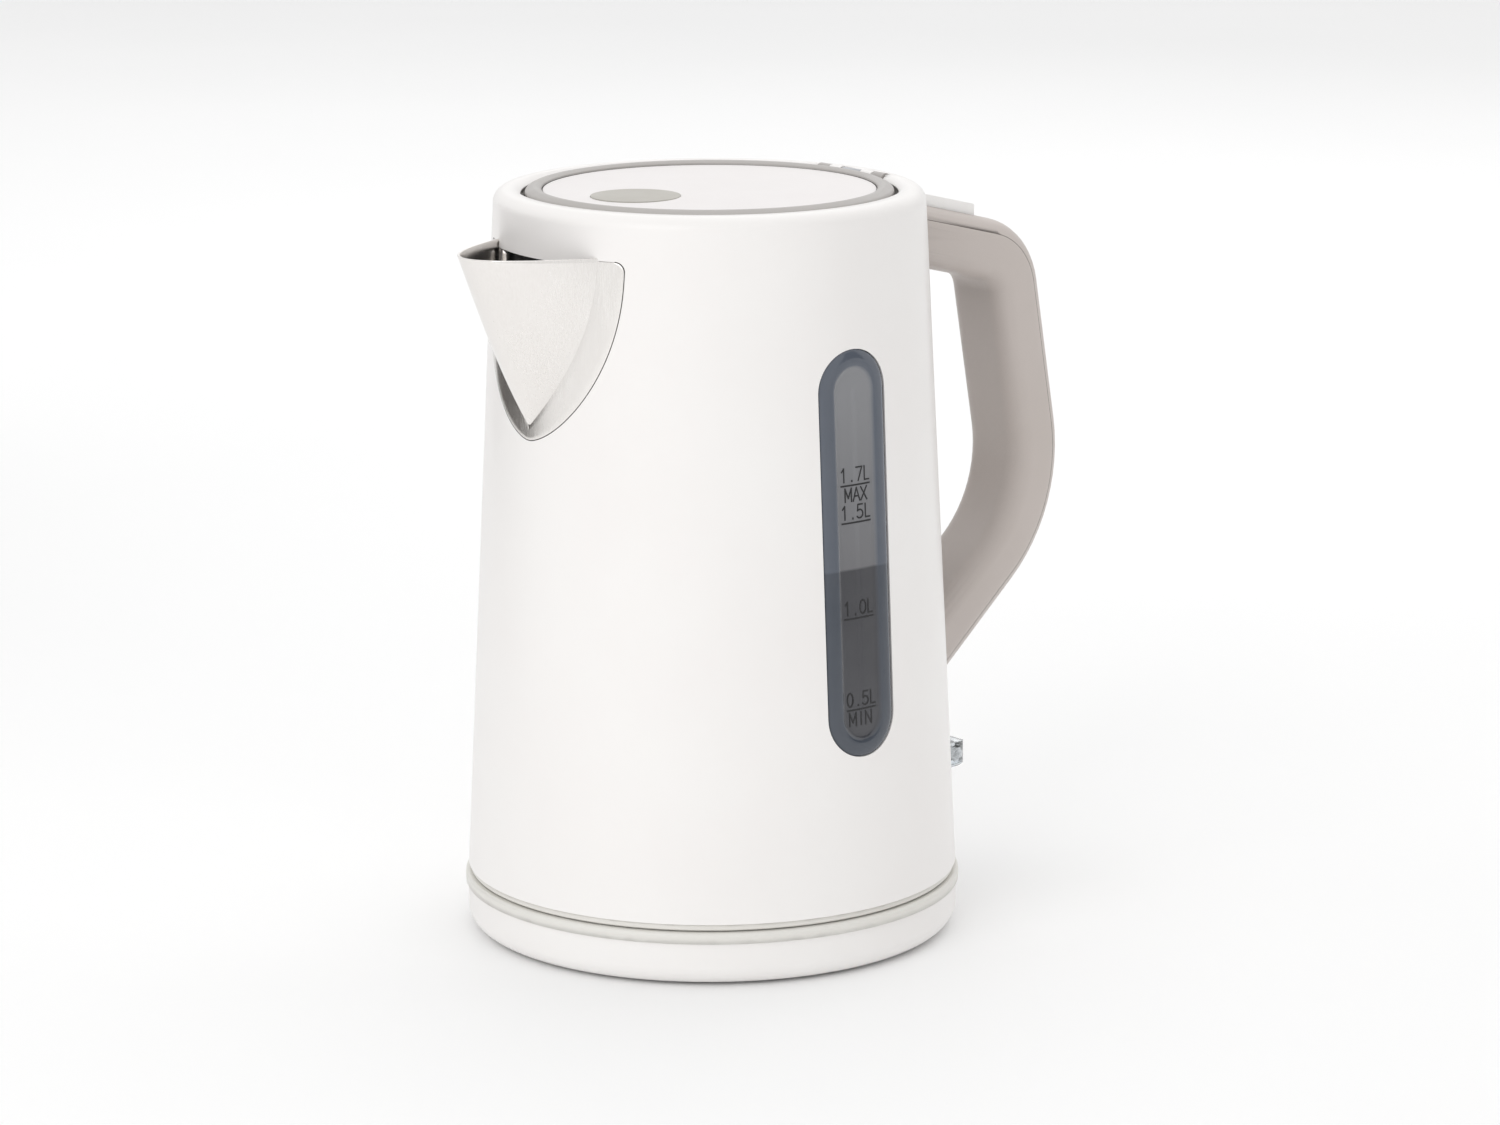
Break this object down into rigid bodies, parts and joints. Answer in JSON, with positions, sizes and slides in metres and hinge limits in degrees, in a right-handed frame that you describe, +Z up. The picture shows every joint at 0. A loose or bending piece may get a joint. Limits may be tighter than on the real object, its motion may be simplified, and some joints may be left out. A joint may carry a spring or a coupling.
{
  "type": "electric kettle",
  "caption": "Cordless electric kettle: tapered white jug with steel beak, water gauge and side handle, hinged lid, lift-off round power base.",
  "frame": {"origin": "on the table, at the centre of the power base's foot ring", "axes": "+Z up along the jug's axis, -X towards the spout, +X towards the handle, -Y towards the water gauge"},
  "size_m": [0.2398, 0.163, 0.245],
  "materials": {
    "white_plastic": "satin white moulded polypropylene",
    "greige_plastic": "fine satin warm grey plastic",
    "pale_greige_plastic": "satin pale warm grey plastic",
    "brushed_spout_steel": "brushed stainless steel",
    "vessel_steel": "drawn stainless steel",
    "smoked_window": "smoked clear plastic",
    "black_plastic": "black moulded nylon",
    "nylon": "natural grey nylon",
    "silicone": "translucent silicone rubber",
    "foot_rubber": "black rubber",
    "brass": "plain brass contacts",
    "aluminium": "cast aluminium",
    "heater_sheath": "heat-tinted sheath",
    "snap_disc": "bimetal disc",
    "screw_steel": "zinc-plated steel",
    "clear_plastic": "clear moulded plastic",
    "lead_insulation": "insulated cable cores"
  },
  "bodies": {
    "power_base": {"base_lower_shell": "white_plastic", "base_upper_cover": "pale_greige_plastic", "foot_ring": "foot_rubber", "base_connector": "black_plastic", "base_ring_contact": "brass", "base_pin_contact": "brass", "base_terminals": "brass", "base_leads": "lead_insulation", "cord_gland": "black_plastic", "base_screws": "screw_steel"},
    "connector": {"connector_socket": "black_plastic", "socket_pin": "brass", "socket_ring": "brass"},
    "jug": {"body_shell": "white_plastic", "water_vessel": "vessel_steel", "neck_ring": "pale_greige_plastic", "neck_seal": "silicone", "spout": "brushed_spout_steel", "spout_filter": "nylon", "water_window": "smoked_window", "window_gasket": "silicone", "bottom_trim": "pale_greige_plastic", "bottom_cover": "nylon", "bottom_screws": "screw_steel", "heat_plate": "aluminium", "heating_element": "heater_sheath", "element_terminals": "screw_steel", "control_housing": "nylon", "dry_boil_discs": "snap_disc", "steam_pipe": "vessel_steel", "pipe_grommet": "silicone", "steam_disc": "snap_disc", "lever_bezel": "white_plastic", "lever_pivot": "screw_steel", "indicator_lamp": "clear_plastic", "handle_grip": "greige_plastic", "handle_cover": "greige_plastic", "handle_screws": "screw_steel", "hinge_pin": "screw_steel", "lid_spring": "screw_steel", "button_spring": "screw_steel"},
    "lid": {"lid_cover": "white_plastic", "lid_ring": "greige_plastic", "lid_inlay": "greige_plastic", "lid_liner": "pale_greige_plastic", "lid_seal": "silicone", "lid_screws": "screw_steel"},
    "release": {"release_button": "white_plastic", "lid_catch": "nylon"},
    "lever": {"switch_lever": "clear_plastic", "trip_arm": "nylon"}
  },
  "joints": [
    {"name": "jug_lift", "type": "slide", "parent": "power_base", "child": "connector", "axis": [0, 0, 1], "range_m": [0, 0.12]},
    {"name": "jug_swivel", "type": "hinge", "parent": "connector", "child": "jug", "pos_m": [0, 0, 0.03], "axis": [0, 0, 1], "continuous": true},
    {"name": "lid_hinge", "type": "hinge", "parent": "jug", "child": "lid", "pos_m": [0.0603, 0, 0.2426], "axis": [0, 1, 0], "range_deg": [0, 75]},
    {"name": "button_press", "type": "slide", "parent": "jug", "child": "release", "axis": [0, 0, -1], "range_m": [0, 0.0028], "stiffness_N_per_m": 400, "springref_m": -0.002, "deforming": ["button_spring"]},
    {"name": "lever_tip", "type": "hinge", "parent": "jug", "child": "lever", "pos_m": [0.07, 0, 0.041], "axis": [0, 1, 0], "range_deg": [0, 12]}
  ]
}
